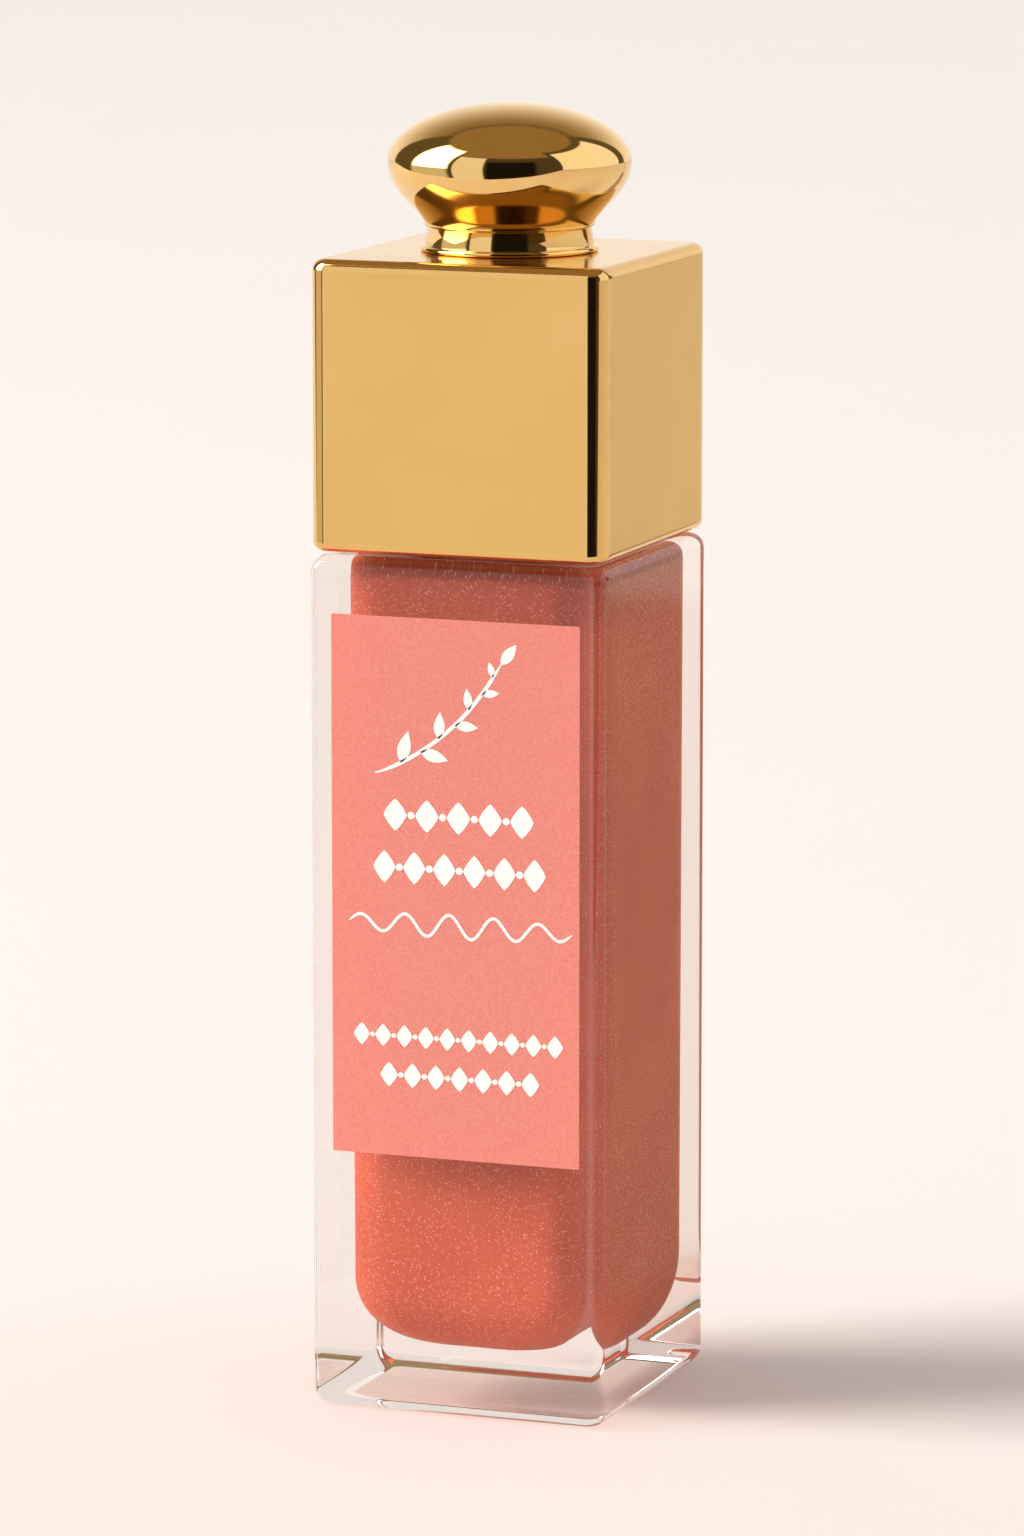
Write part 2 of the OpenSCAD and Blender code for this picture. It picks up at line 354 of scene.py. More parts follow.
def gold_satin():
    """Flat faces of the cap: plated gold with a very fine satin grain."""
    material, graph, place = new_material("gold_satin")
    drift = graph.noise(place, per_mm(0.09), 3)
    grain = graph.noise(place, per_mm(14), 2)
    colour = graph.mix(graph.ramp(drift, 0.35, 0.65), GOLD, GOLD_DEEP)
    satin = graph.math("MULTIPLY_ADD", drift, 0.04, 0.1)
    roughness = graph.math("ADD", graph.math("MULTIPLY", grain, 0.05), satin)
    shader = principled(
        graph, Base_Color=colour, Metallic=1.0, Roughness=roughness,
        Normal=graph.bump(grain, 0.12, 0.01),
    )
    finish_material(graph, shader)
    return material


def gold_mirror(name, roughness, tone, tone_worn):
    """Polished gold for the knob, the collar and the cap's edges, with faint handling marks."""
    material, graph, place = new_material(name)
    smudge = graph.noise(place, per_mm(0.35), 4, 0.6)
    fine = graph.noise(place, per_mm(3), 2)
    colour = graph.mix(graph.ramp(smudge, 0.4, 0.7), tone, tone_worn)
    rough = graph.math("MULTIPLY_ADD", smudge, 0.035, roughness)
    shader = principled(
        graph, Base_Color=colour, Metallic=1.0, Roughness=rough,
        Normal=graph.bump(fine, 0.05, 0.004),
    )
    finish_material(graph, shader)
    return material


def clear_glass():
    """Thick clear glass. It bends what is seen through it, but lets soft light straight in.

    Rays to a lamp, rays that left a matt surface, and rays mirrored twice or more pass unbent.
    """
    material, graph, place = new_material("clear_glass")
    ripple = graph.noise(place, per_mm(0.12), 2)
    glass = principled(
        graph, Base_Color=(0.935, 0.91, 0.89), Roughness=0.0, IOR=1.5, Transmission_Weight=1.0,
        Normal=graph.bump(ripple, 0.12, 0.05),
    )
    clear = graph.node("ShaderNodeBsdfTransparent", {"Color": (0.96, 0.91, 0.88)}).outputs[0]
    rays = graph.node("ShaderNodeLightPath").outputs
    trapped = graph.math("GREATER_THAN", rays["Glossy Depth"], 1.5)
    soft = graph.math("MAXIMUM", rays["Is Shadow Ray"], rays["Is Diffuse Ray"])
    straight = graph.math("MAXIMUM", soft, trapped)
    mixed = graph.node("ShaderNodeMixShader", {0: straight, 1: glass, 2: clear}).outputs[0]
    finish_material(graph, mixed)
    return material


def pearl_shimmer(graph, place):
    """How much pearl shows at a point: scattered bright flakes, with a finer glint between them."""
    flake = graph.cells(place, per_mm(FLAKES_PER_MM), "Color")
    flake_value = graph.node("ShaderNodeSeparateColor", {"Color": flake}).outputs[0]
    near = graph.ramp(graph.cells(place, per_mm(FLAKES_PER_MM)), 0.22, 0.45, 1.0, 0.0)
    bright = graph.math("MULTIPLY", graph.ramp(flake_value, 0.5, 0.95), near)
    fine = graph.ramp(graph.noise(place, per_mm(11), 1), 0.55, 0.75)
    return graph.math("MAXIMUM", bright, graph.math("MULTIPLY", fine, 0.25))


def coral_gloss(name="coral_gloss", specular=0.15, coat=0.0):
    """Coral gloss with a fine pearl shimmer, and painted shade of the cap darkening it toward the cavity's
    roof.
    """
    material, graph, place = new_material(name)
    cloud = graph.noise(place, per_mm(0.12), 3)
    sparkle = pearl_shimmer(graph, place)
    base = graph.mix(graph.ramp(cloud, 0.3, 0.7), CORAL, CORAL_LIGHT)
    # Painted shade: the gloss colour is darkened toward the cavity's roof, standing in for the cap's
    # shadow.
    height = graph.node("ShaderNodeSeparateXYZ", {"Vector": place}).outputs[2]
    shade = graph.ramp(height, (ROOF_Z - 4.5) * MM, ROOF_Z * MM, 0.0, 0.45)
    base = graph.mix(shade, base, CORAL_SHADED)
    colour = graph.mix(graph.math("MULTIPLY", sparkle, 0.55), base, PEARL)
    shader = principled(
        graph, Base_Color=colour, Roughness=graph.math("MULTIPLY_ADD", sparkle, -0.1, 0.4),
        Specular_IOR_Level=specular, Subsurface_Weight=0.12, Subsurface_Scale=0.8 * MM,
        Subsurface_Radius=(1.0, 0.35, 0.2), Coat_Weight=coat, Coat_Roughness=0.04,
    )
    finish_material(graph, shader)
    return material


def label_film():
    """Salmon label stock with a fine grain and a satin surface."""
    material, graph, place = new_material("label_film")
    grain = graph.noise(place, per_mm(7), 3, 0.65)
    mottle = graph.noise(place, per_mm(0.5), 3)
    colour = graph.mix(graph.ramp(grain, 0.32, 0.7), (0.70, 0.206, 0.168), (0.77, 0.265, 0.223))
    colour = graph.mix(graph.ramp(mottle, 0.35, 0.75, 0.0, 0.25), colour, (0.74, 0.23, 0.19))
    shader = principled(
        graph, Base_Color=colour, Roughness=graph.math("MULTIPLY_ADD", grain, 0.2, 0.42),
        Specular_IOR_Level=0.35, Subsurface_Weight=0.25, Subsurface_Scale=0.4 * MM,
        Subsurface_Radius=(1.0, 0.6, 0.5), Normal=graph.bump(grain, 0.18, 0.01),
    )
    finish_material(graph, shader)
    return material


def white_print():
    """Opaque white ink, slightly uneven."""
    material, graph, place = new_material("white_print")
    ink = graph.noise(place, per_mm(4), 3)
    colour = graph.mix(graph.ramp(ink, 0.3, 0.7), (0.93, 0.87, 0.84), (0.99, 0.95, 0.93))
    shader = principled(graph, Base_Color=colour, Roughness=0.5, Normal=graph.bump(ink, 0.1, 0.005))
    finish_material(graph, shader)
    return material


def moulded_plastic(name, colour, roughness, speck=0.04, clear=0.0):
    """Moulded plastic with soft flow marks and a faint speckle."""
    material, graph, place = new_material(name)
    flow = graph.noise(place, per_mm(0.3), 4, 0.6)
    fine = graph.noise(place, per_mm(5), 2)
    darker = tuple(c * (1 - 2 * speck) for c in colour)
    tone = graph.mix(graph.ramp(flow, 0.3, 0.7), colour, darker)
    shader = principled(
        graph, Base_Color=tone, Roughness=graph.math("MULTIPLY_ADD", fine, 0.12, roughness),
        Subsurface_Weight=0.15, Subsurface_Scale=1.0 * MM, Transmission_Weight=clear, IOR=1.5,
        Normal=graph.bump(fine, 0.1, 0.01),
    )
    finish_material(graph, shader)
    return material


def zinc_steel():
    """Zinc-plated steel with fine turning marks."""
    material, graph, place = new_material("zinc_steel")
    spangle = graph.cells(place, per_mm(0.8), "Distance")
    fine = graph.noise(place, per_mm(9), 2)
    colour = graph.mix(graph.ramp(spangle, 0.1, 0.7), (0.55, 0.56, 0.58), (0.70, 0.71, 0.72))
    shader = principled(
        graph, Base_Color=colour, Metallic=1.0, Roughness=graph.math("MULTIPLY_ADD", fine, 0.15, 0.25),
        Normal=graph.bump(fine, 0.2, 0.01),
    )
    finish_material(graph, shader)
    return material


def washer_foam():
    """Closed-cell foam."""
    material, graph, place = new_material("washer_foam")
    cell = graph.cells(place, per_mm(6))
    colour = graph.mix(graph.ramp(cell, 0.1, 0.6), (0.80, 0.80, 0.78), (0.92, 0.92, 0.90))
    shader = principled(
        graph, Base_Color=colour, Roughness=0.85, Sheen_Weight=0.2, Normal=graph.bump(cell, 0.5, 0.03)
    )
    finish_material(graph, shader)
    return material


def tip_flocking():
    """Short flocked fibres, soaked in gloss."""
    material, graph, place = new_material("tip_flocking")
    pile = graph.noise(place, per_mm(9), 3, 0.7)
    soaked = graph.noise(place, per_mm(0.5), 3)
    dry = graph.mix(graph.ramp(pile, 0.3, 0.7), (0.72, 0.30, 0.22), (0.90, 0.52, 0.43))
    colour = graph.mix(graph.ramp(soaked, 0.4, 0.65), dry, (0.66, 0.16, 0.1))
    shader = principled(
        graph, Base_Color=colour, Roughness=graph.ramp(soaked, 0.4, 0.65, 0.7, 0.25),
        Sheen_Weight=0.5, Sheen_Roughness=0.4, Coat_Weight=0.35, Coat_Roughness=0.12,
        Normal=graph.bump(pile, 0.7, 0.06),
    )
    finish_material(graph, shader)
    return material


# ---- Bottle and gloss ----

def ridge_height(angle, z):
    """Height of the neck's thread ridge at an angle in degrees from +X and a height z."""
    best = 0.0
    for turned in (angle, angle + 360):
        if turned > THREAD_SWEEP:
            continue
        fade = min(1, turned / THREAD_FADE, (THREAD_SWEEP - turned) / THREAD_FADE)
        away = abs(z - THREAD_Z - THREAD_PITCH * turned / 360)
        flank = min(1, max(0, (RIDGE_HALF_W - away) / RIDGE_FLANK_W))
        best = max(best, THREAD_DEPTH * max(0, fade) * flank * flank * (3 - 2 * flank))
    return best


def cavity_rings(side=0.0, ends=0.0):
    """Rings down the cavity from its flat roof to its floor; side and ends push them into the glass."""
    rings = []
    top, low = CAVITY_TOP_HALF + side, CAVITY_LOW_HALF + side
    roof, floor = ROOF_Z + ends, FLOOR_Z - ends
    for a in arc(90, 0, 6):
        inset = CAVITY_ROOF_R * (1 - math.cos(a))
        z = roof - CAVITY_ROOF_R + CAVITY_ROOF_R * math.sin(a)
        rings.append(square_ring(top - inset, CAVITY_EDGE_R, z))
    for a in arc(0, 90, 16):
        inset = CAVITY_FOOT_R * (1 - math.cos(a))
        z = floor + CAVITY_FOOT_R - CAVITY_FOOT_R * math.sin(a)
        rings.append(square_ring(low - inset, CAVITY_EDGE_R, z))
    return rings


def build_bottle(glass):
    """Glass body, shoulder, threaded neck and cavity in one closed surface."""
    rings = []
    for a in arc(0, 90, 6):
        rings.append(square_ring(
            HALF - FOOT_R + FOOT_R * math.sin(a), GLASS_EDGE_R, FOOT_R - FOOT_R * math.cos(a)
        ))
    for a in arc(0, 90, 6):
        rings.append(square_ring(
            HALF - SHOULDER_R + SHOULDER_R * math.cos(a), GLASS_EDGE_R,
            SHOULDER_Z - SHOULDER_R + SHOULDER_R * math.sin(a),
        ))
    for a in arc(0, 90, 4):
        rings.append(round_ring(
            NECK_R + NECK_ROOT_R * (1 - math.sin(a)), SHOULDER_Z + NECK_ROOT_R * (1 - math.cos(a))
        ))
    thread_rings = 44
    margin = 0.7
    thread_low = THREAD_Z - margin
    thread_high = THREAD_Z + THREAD_PITCH * THREAD_SWEEP / 360 + margin
    for i in range(thread_rings + 1):
        z = thread_low + (thread_high - thread_low) * i / thread_rings
        rings.append(round_ring(NECK_R, z, ridge_height))
    for a in arc(0, 90, 4):
        rings.append(round_ring(
            NECK_R - LIP_R * (1 - math.cos(a)), LIP_Z - LIP_R * (1 - math.sin(a))
        ))
    rings.append(round_ring(BORE_R + 0.15, LIP_Z))
    rings.append(round_ring(BORE_R, LIP_Z - 0.15))
    rings.append(round_ring(BORE_R, ROOF_Z + 0.3))
    rings.append(round_ring(BORE_R + 0.3, ROOF_Z))
    points, faces = skin_rings(rings + cavity_rings())
    make_piece("bottle_glass", points, faces, [glass], "bottle_body", ["bottle"])


def part_from_walls(point):
    """Moves a point of the gloss off the left and back walls, past the corners that can be seen."""
    x, y, z = point
    away = GLOSS_WET + GLOSS_GAP
    past_front = min(1, max(0, (y + 5.8) / 1.5))
    past_right = min(1, max(0, (6.6 - x) / 1.5))
    left = max(0, -x / CAVITY_TOP_HALF)
    back = max(0, y / CAVITY_TOP_HALF)
    return x + away * past_front * left, y - away * past_right * back, z


def build_gloss(gloss):
    """Gloss with the wand's channel. It wets the glass, but just clears the left and back walls."""
    channel_z = FLOCK_LOW.z - 0.8
    rings = [
        round_ring(0.02, channel_z),
        round_ring(CHANNEL_R - 0.8, channel_z + 0.15),
        round_ring(CHANNEL_R, channel_z + 0.9),
        round_ring(CHANNEL_R, ROOF_Z),
        round_ring(CHANNEL_R + 0.15, ROOF_Z + GLOSS_WET),
    ]
    for ring in cavity_rings(GLOSS_WET, GLOSS_WET):
        rings.append([part_from_walls(point) for point in ring])
    points, faces = skin_rings(rings)
    make_piece("gloss", points, faces, [gloss], "bottle_body", ["gloss_fill"])


def build_wiper(plastic):
    """Soft plug with its flange, sealing ribs, funnel and wiping lip."""
    low, top = WIPER_LOW.z, WIPER_HIGH.z
    plug_r, hole_r = BORE_R - 0.05, 2.15
    outline = [(hole_r, low + 0.15), (hole_r + 0.15, low), (hole_r + 0.45, low), (plug_r, low + 3.4)]
    for i in range(3):
        z = low + 3.6 + 1.2 * i
        for step in range(9):
            depth = 0.22 * math.sin(math.pi * step / 8) ** 2
            outline.append((plug_r - depth, z + 1.0 * step / 8))
    outline += [(plug_r, LIP_Z), (5.35, LIP_Z)]
    outline += [(5.35 + 0.15 * math.sin(a), LIP_Z + 0.15 * (1 - math.cos(a))) for a in arc(0, 90, 3)]
    outline += [(5.5 - 0.2 * (1 - math.cos(a)), top - 0.2 * (1 - math.sin(a))) for a in arc(0, 90, 4)]
    outline += [(3.7 - 0.35 * math.sin(a), top - 0.35 * (1 - math.cos(a))) for a in arc(0, 90, 4)]
    outline += [(3.3, top - 1.2), (3.3, low + 4), (hole_r, low + 1)]
    points, faces = lathe(outline, 96)
    make_piece("wiper_plug", points, faces, [plastic], "bottle_body", ["wiper"])


# ---- Label ----

LABEL_FRONT_Y = LABEL_LOW.y + 0.02
PRINT_FRONT_Y = LABEL_LOW.y + 0.004
LABEL_CORNER_R = 0.12
LABEL_ROLL = 0.025


def prism(outline, back_y, front_y):
    """Points and faces of a flat outline of (x, z) points, given a thickness along Y."""
    count = len(outline)
    points = [(x, back_y, z) for x, z in outline] + [(x, front_y, z) for x, z in outline]
    faces = [tuple(range(count)), tuple(reversed(range(count, 2 * count)))]
    faces += [(i, i + count, (i + 1) % count + count, (i + 1) % count) for i in range(count)]
    return points, faces


def label_ring(inset, y):
    """Outline of the label at depth y, drawn in by inset, with slightly round corners."""
    middle_x, middle_z = (LABEL_LOW.x + LABEL_HIGH.x) / 2, (LABEL_LOW.z + LABEL_HIGH.z) / 2
    reach_x = (LABEL_HIGH.x - LABEL_LOW.x) / 2 - LABEL_CORNER_R
    reach_z = (LABEL_HIGH.z - LABEL_LOW.z) / 2 - LABEL_CORNER_R
    ring = []
    for quarter, (sx, sz) in enumerate(((1, 1), (-1, 1), (-1, -1), (1, -1))):
        for a in arc(90 * quarter, 90 * quarter + 90, 6):
            ring.append((
                middle_x + sx * reach_x + (LABEL_CORNER_R - inset) * math.cos(a), y,
                middle_z + sz * reach_z + (LABEL_CORNER_R - inset) * math.sin(a),
            ))
    return ring


def build_label(film):
    """Thin rectangle with a fine rolled edge."""
    layers = [
        label_ring(0, -HALF),
        label_ring(0, LABEL_FRONT_Y + LABEL_ROLL),
        label_ring(0.3 * LABEL_ROLL, LABEL_FRONT_Y + 0.3 * LABEL_ROLL),
        label_ring(LABEL_ROLL, LABEL_FRONT_Y),
    ]
    points, faces = skin_rings(layers)
    make_piece("label_sheet", points, faces, [film], "bottle_body", ["label"])


def disc(x, z, r, count=24):
    """Round dot."""
    return [
        (x + r * math.cos(2 * math.pi * i / count), z + r * math.sin(2 * math.pi * i / count))
        for i in range(count)
    ]


def lozenge(x, z, width, height, bulge=0.12):
    """Diamond with gently rounded flanks."""
    corners = [(width / 2, 0), (0, height / 2), (-width / 2, 0), (0, -height / 2)]
    outline = []
    for i, (ax, az) in enumerate(corners):
        bx, bz = corners[(i + 1) % 4]
        for step in range(6):
            t = step / 6
            swell = 1 + bulge * 4 * t * (1 - t)
            outline.append((x + swell * (ax + (bx - ax) * t), z + swell * (az + (bz - az) * t)))
    return outline


def leaf(x, z, turn, length, width):
    """Pointed leaf that starts at x, z and points along turn degrees."""
    c, s = math.cos(math.radians(turn)), math.sin(math.radians(turn))
    edge = [(length * i / 14, width / 2 * math.sin(math.pi * (i / 14) ** 0.85)) for i in range(15)]
    both = edge + [(u, -v) for u, v in reversed(edge[1:-1])]
    return [(x + u * c - v * s, z + u * s + v * c) for u, v in both]


def stroke(path, width):
    """Outline of a line of the given width along a path of (x, z) points, with tapered ends."""
    left, right = [], []
    last = len(path) - 1
    for i, (x, z) in enumerate(path):
        ax, az = path[max(i - 1, 0)]
        bx, bz = path[min(i + 1, last)]
        length = math.hypot(bx - ax, bz - az)
        taper = min(1, 0.35 + i / 6, 0.35 + (last - i) / 6)
        nx, nz = -(bz - az) / length * width * taper / 2, (bx - ax) / length * width * taper / 2
        left.append((x + nx, z + nz))
        right.append((x - nx, z - nz))
    return left + right[::-1]


def sprig():
    """Leafy sprig that leans to the right over the rows."""
    stem = []
    for i in range(33):
        t = i / 32
        stem.append((-5.4 + 8.6 * t + 0.9 * math.sin(math.pi * t), 42.0 + 7.4 * t ** 1.25))
    outlines = [stroke(stem, 0.26)]
    for i, side in ((5, 1), (9, -1), (13, 1), (17, -1), (21, 1), (25, -1), (29, 1)):
        x, z = stem[i]
        ahead = math.degrees(math.atan2(stem[i + 1][1] - z, stem[i + 1][0] - x))
        size = 2.35 - 0.045 * i
        outlines.append(leaf(x, z, ahead + 48 * side, size, size * 0.42))
    x, z = stem[-1]
    outlines.append(leaf(x, z, 52, 1.7, 0.75))
    return outlines


def bead_row(middle_z, height, left, right, count, gap_bead):
    """Row of lozenges between left and right, with a bead in each gap."""
    outlines = []
    pitch = (right - left) / count
    for i in range(count):
        x = left + pitch * (i + 0.5)
        outlines.append(lozenge(x, middle_z, pitch * 0.74, height))
        if i < count - 1:
            outlines.append(disc(x + pitch / 2, middle_z, gap_bead))
    return outlines


def wave_rule(middle_z, left, right, height, turns):
    """Thin flowing line between left and right."""
    steps = 28 * turns
    path = []
    for i in range(steps + 1):
        t = i / steps
        swing = math.sin(2 * math.pi * turns * t) * (0.55 + 0.45 * math.sin(math.pi * t))
        path.append((left + (right - left) * t, middle_z + height / 2 * swing))
    return [stroke(path, 0.2)]


def build_print(ink):
    """Generic white ornament on the label: a sprig, two bold bead rows, a wave and two fine rows."""
    outlines = sprig()
    outlines += bead_row(39.35, 2.1, -5.1, 5.7, 5, 0.24)
    outlines += bead_row(35.95, 2.1, -5.8, 6.5, 6, 0.24)
    outlines += wave_rule(32.3, -7.2, 8.0, 1.5, 5)
    outlines += bead_row(24.95, 1.45, -7.1, 7.6, 10, 0.16)
    outlines += bead_row(22.4, 1.6, -5.3, 6.0, 7, 0.18)
    points, faces = [], []
    for outline in outlines:
        more_points, more_faces = prism(outline, LABEL_FRONT_Y + 0.005, PRINT_FRONT_Y)
        faces += [tuple(i + len(points) for i in face) for face in more_faces]
        points += more_points
    make_piece("label_print", points, faces, [ink], "bottle_body", sharp=20)


# ---- Cap ----

def build_shell(satin, polish):
    """Square shell, open below, with satin faces and polished edges."""
    rings = [
        round_ring(SCREW_HOLE_R, CAP_TOP_Z - CAP_WALL),
        round_ring(SCREW_HOLE_R, CAP_TOP_Z),
    ]
    for a in arc(90, 0, 8):
        inset = CAP_TOP_R * (1 - math.cos(a))
        rings.append(square_ring(
            HALF - inset, CAP_EDGE_R - inset, CAP_TOP_Z - CAP_TOP_R * (1 - math.sin(a))
        ))
    for a in arc(0, -90, 6):
        inset = CAP_LIP_R * (1 - math.cos(a))
        rings.append(square_ring(
            HALF - inset, CAP_EDGE_R - inset, CAP_LOW_Z + CAP_LIP_R * (1 + math.sin(a))
        ))
    inner = HALF - CAP_WALL
    rings.append(square_ring(inner + 0.1, CAP_INNER_R + 0.1, CAP_LOW_Z))
    rings.append(square_ring(inner, CAP_INNER_R, CAP_LOW_Z + 0.1))
    rings.append(square_ring(inner, CAP_INNER_R, CAP_TOP_Z - CAP_WALL))
    points, faces = skin_rings(rings, close=True)
    piece = make_piece(
        "cap_cover", points, faces, [satin, polish], "cap_body", ["cap_shell"], sharp=50
    )
    flat = 0.998
    for polygon in piece.data.polygons:
        if max(abs(c) for c in polygon.normal) < flat:
            polygon.material_index = 1


def build_collar(gold):
    """Ring with a rounded rim."""
    rim = (COLLAR_HIGH.z - COLLAR_LOW.z) / 2
    r = COLLAR_HIGH.x
    outline = [(SCREW_HOLE_R, COLLAR_LOW.z)]
    outline += [
        (r - rim * (1 - math.cos(a)), COLLAR_LOW.z + rim * (1 + math.sin(a)))
        for a in arc(-90, 90, 14)
    ]
    outline.append((SCREW_HOLE_R, COLLAR_HIGH.z))
    points, faces = lathe(outline, 160)
    make_piece("collar_ring", points, faces, [gold], "cap_body", ["knob_collar"])


def cubic(a, b, c, d, t):
    """Point at t on a cubic curve with the control values a, b, c and d."""
    return (1 - t) ** 3 * a + 3 * (1 - t) ** 2 * t * b + 3 * (1 - t) * t * t * c + t ** 3 * d


def build_knob(gold):
    """Mushroom knob: band, small step, flare, widest ring and dome."""
    wide_r = KNOB_HIGH.x
    low_z, top_z = KNOB_LOW.z, KNOB_HIGH.z
    band_z, wide_z = low_z + BAND_H, top_z - DOME_H
    rise = wide_z - band_z
    outline = [
        (0, low_z),
        (BAND_R + BAND_TAPER, low_z),
        (BAND_R + BAND_TAPER, low_z + 0.06),
        (BAND_R - BAND_TAPER, band_z - 0.1),
        (BAND_R - 0.05, band_z - 0.04),
        (FLARE_LOW_R - 0.03, band_z),
        (FLARE_LOW_R, band_z + 0.04),
    ]
    for i in range(29):
        t = i / 28
        outline.append((
            cubic(FLARE_LOW_R, FLARE_LOW_R + 0.05, wide_r, wide_r, t),
            cubic(band_z + 0.1, band_z + 0.22 * rise, wide_z - 0.5 * rise, wide_z, t),
        ))
    outline += [
        (wide_r * math.cos(a), wide_z + (top_z - wide_z) * math.sin(a)) for a in arc(2.5, 87.5, 34)
    ]
    outline.append((0, top_z))
    points, faces = lathe(outline, 192)
    make_piece("knob_mushroom", points, faces, [gold], "cap_body", ["knob"], sharp=60)


# ---- Wand ----

def build_stem(plastic):
    """Slim stem with a flat head above the inner cap and a rounded lower rim."""
    r, low, top = 1.8, STEM_LOW.z, STEM_HIGH.z
    head_r, head_low = STEM_HIGH.x, STEM_HIGH.z - 0.8
    outline = [(0.95, low + 5.2), (0.95, low)]
    outline += [(r - 0.25 * (1 - math.cos(a)), low + 0.25 * (1 + math.sin(a))) for a in arc(-90, 0, 5)]
    outline += [(r, low + 20), (r, head_low), (head_r - 0.1, head_low), (head_r, head_low + 0.1)]
    outline += [(head_r, top - 0.1), (head_r - 0.1, top), (0, top)]
    points, faces = lathe([(0, low + 5.2)] + outline, 72)
    make_piece("stem", points, faces, [plastic], "cap_body", ["wand_stem"])


def build_film(gloss):
    """Thin uneven coat of gloss that stays on the stem."""
    inner, outer = 1.83, FILM_HIGH.x
    rows, count = 120, 72
    rings = [lathe_ring(inner, FILM_HIGH.z, count)]
    for row in range(rows + 1):
        t = row / rows
        z = FILM_HIGH.z + (FILM_LOW.z - FILM_HIGH.z) * t
        ring = []
        for i in range(count):
            angle = 2 * math.pi * i / count
            lump = noise.noise(Vector((math.cos(angle) * 1.1, math.sin(angle) * 1.1, z * 0.35)))
            end = min(1, 8 * t, 8 * (1 - t))
            r = inner + 0.02 + (outer - inner - 0.02) * (0.62 + 0.5 * lump) * end
            ring.append((min(r, outer) * math.cos(angle), min(r, outer) * math.sin(angle), z))
        rings.append(ring)
    rings.append(lathe_ring(inner, FILM_LOW.z, count))
    points, faces = skin_rings(rings, close=True)
    make_piece("stem_coat", points, faces, [gloss], "film_body", ["gloss_film"], sharp=80)


def build_flock(flocking):
    """Doe-foot sleeve: a slanted face, a round nose and a pile that stands off the surface."""
    rows, count = 150, 120
    reach = FLOCK_HIGH.x
    low, top = FLOCK_LOW.z, FLOCK_HIGH.z
    slant, slant_z = math.radians(15), low + 5.5
    rings = [lathe_ring(0.95, top, count)]
    for row in range(rows + 1):
        z = top - (top - low - 0.12) * row / rows
        nose = low + reach
        body = reach - 0.12
        if z < nose:
            body = math.sqrt(max(0.0, body ** 2 - (nose - z) ** 2 * (body / reach) ** 2))
        if z > top - 0.4:
            body -= 0.3 * (z - top + 0.4) / 0.4
        ring = []
        for i in range(count):
            angle = 2 * math.pi * i / count
            x, y = body * math.cos(angle), body * math.sin(angle)
            limit = reach - 0.1 - max(0.0, slant_z - z) * math.tan(slant)
            x = min(x, limit)
            pile = noise.noise(Vector((x * 5.5, y * 5.5, z * 5.5)))
            pile += 0.6 * noise.noise(Vector((x * 13, y * 13, z * 13)))
            length = math.hypot(x, y) or 1.0
            grow = 1 + 0.06 * pile / max(length, 0.3)
            ring.append((x * grow, y * grow, z))
        rings.append(ring)
    points, faces = skin_rings(rings)
    make_piece("tip_sleeve", points, faces, [flocking], "cap_body", ["tip_flock"], sharp=80)


# ---- Scene ----

def painted_reflection_strip(graph, axes):
    """Mask and colour of a painted reflection: a darker strip of floor, which only the tube's mirrored rays
    meet.

    It stands for the dim background that the right faces of the cap and the glass reflect.
    """
    turn = math.radians(19.5)
    along = graph.math(
        "ADD",
        graph.math("MULTIPLY", axes[0], math.sin(turn)),
        graph.math("MULTIPLY", axes[1], math.cos(turn)),
    )
    across = graph.math(
        "SUBTRACT",
        graph.math("MULTIPLY", axes[0], math.cos(turn)),
        graph.math("MULTIPLY", axes[1], math.sin(turn)),
    )
    aside = graph.math("ABSOLUTE", graph.math("SUBTRACT", across, 0.0095))
    tone = graph.mix(graph.ramp(along, 0.355, 0.385), (0.46, 0.33, 0.25), (0.80, 0.745, 0.57))
    beyond = graph.math("MULTIPLY_ADD", along, -0.03, aside)
    inside = graph.math(
        "MULTIPLY", graph.ramp(beyond, 0.006, 0.012, 1.0, 0.0), graph.ramp(along, 0.0, 0.03)
    )
    rays = graph.node("ShaderNodeLightPath").outputs
    unbent = graph.math("SUBTRACT", rays["Is Glossy Ray"], rays["Is Transmission Ray"])
    mirrored = graph.math("GREATER_THAN", unbent, 0.5)
    return graph.math("MULTIPLY", inside, mirrored), tone


def floor_paper():
    """Pale paper, warmer in front and lighter far behind, with a painted reflection strip that only
    mirrored rays meet.
    """
    material, graph, place = new_material("floor_paper")
    axes = graph.node("ShaderNodeSeparateXYZ", {"Vector": place}).outputs
    fleck = graph.noise(place, per_mm(0.01), 2)
    colour = graph.mix(graph.ramp(axes[1], -0.06, 0.04), (0.865, 0.79, 0.755), (0.90, 0.855, 0.84))
    colour = graph.mix(graph.ramp(axes[1], 0.2, 1.4, smooth=False), colour, (0.99, 0.96, 0.95))
    colour = graph.mix(graph.ramp(fleck, 0.2, 0.8, 0.0, 0.04), colour, (0.80, 0.72, 0.66))
    # Painted reflection: a dark strip of floor that stands for the dim background mirrored in the cap and
    # the glass.
    mask, tone = painted_reflection_strip(graph, axes)
    paper_with_painted_reflection = graph.mix(mask, colour, tone)
    shader = principled(graph, Base_Color=paper_with_painted_reflection, Roughness=0.75, Specular_IOR_Level=0.0)
    finish_material(graph, shader)
    return material


def build_floor():
    """Plain pale sheet. It ends a hand's width in front, where the gold shows the dark room."""
    mesh = bpy.data.meshes.new("floor")
    outline = [(-0.19, -0.15), (0.19, -0.19), (3, -0.9), (3, 3), (-3, 3), (-3, 1.3)]
    mesh.from_pydata([(x, y, 0) for x, y in outline], [], [tuple(range(len(outline)))])
    mesh.materials.append(floor_paper())
    floor = bpy.data.objects.new("floor", mesh)
    bpy.context.scene.collection.objects.link(floor)


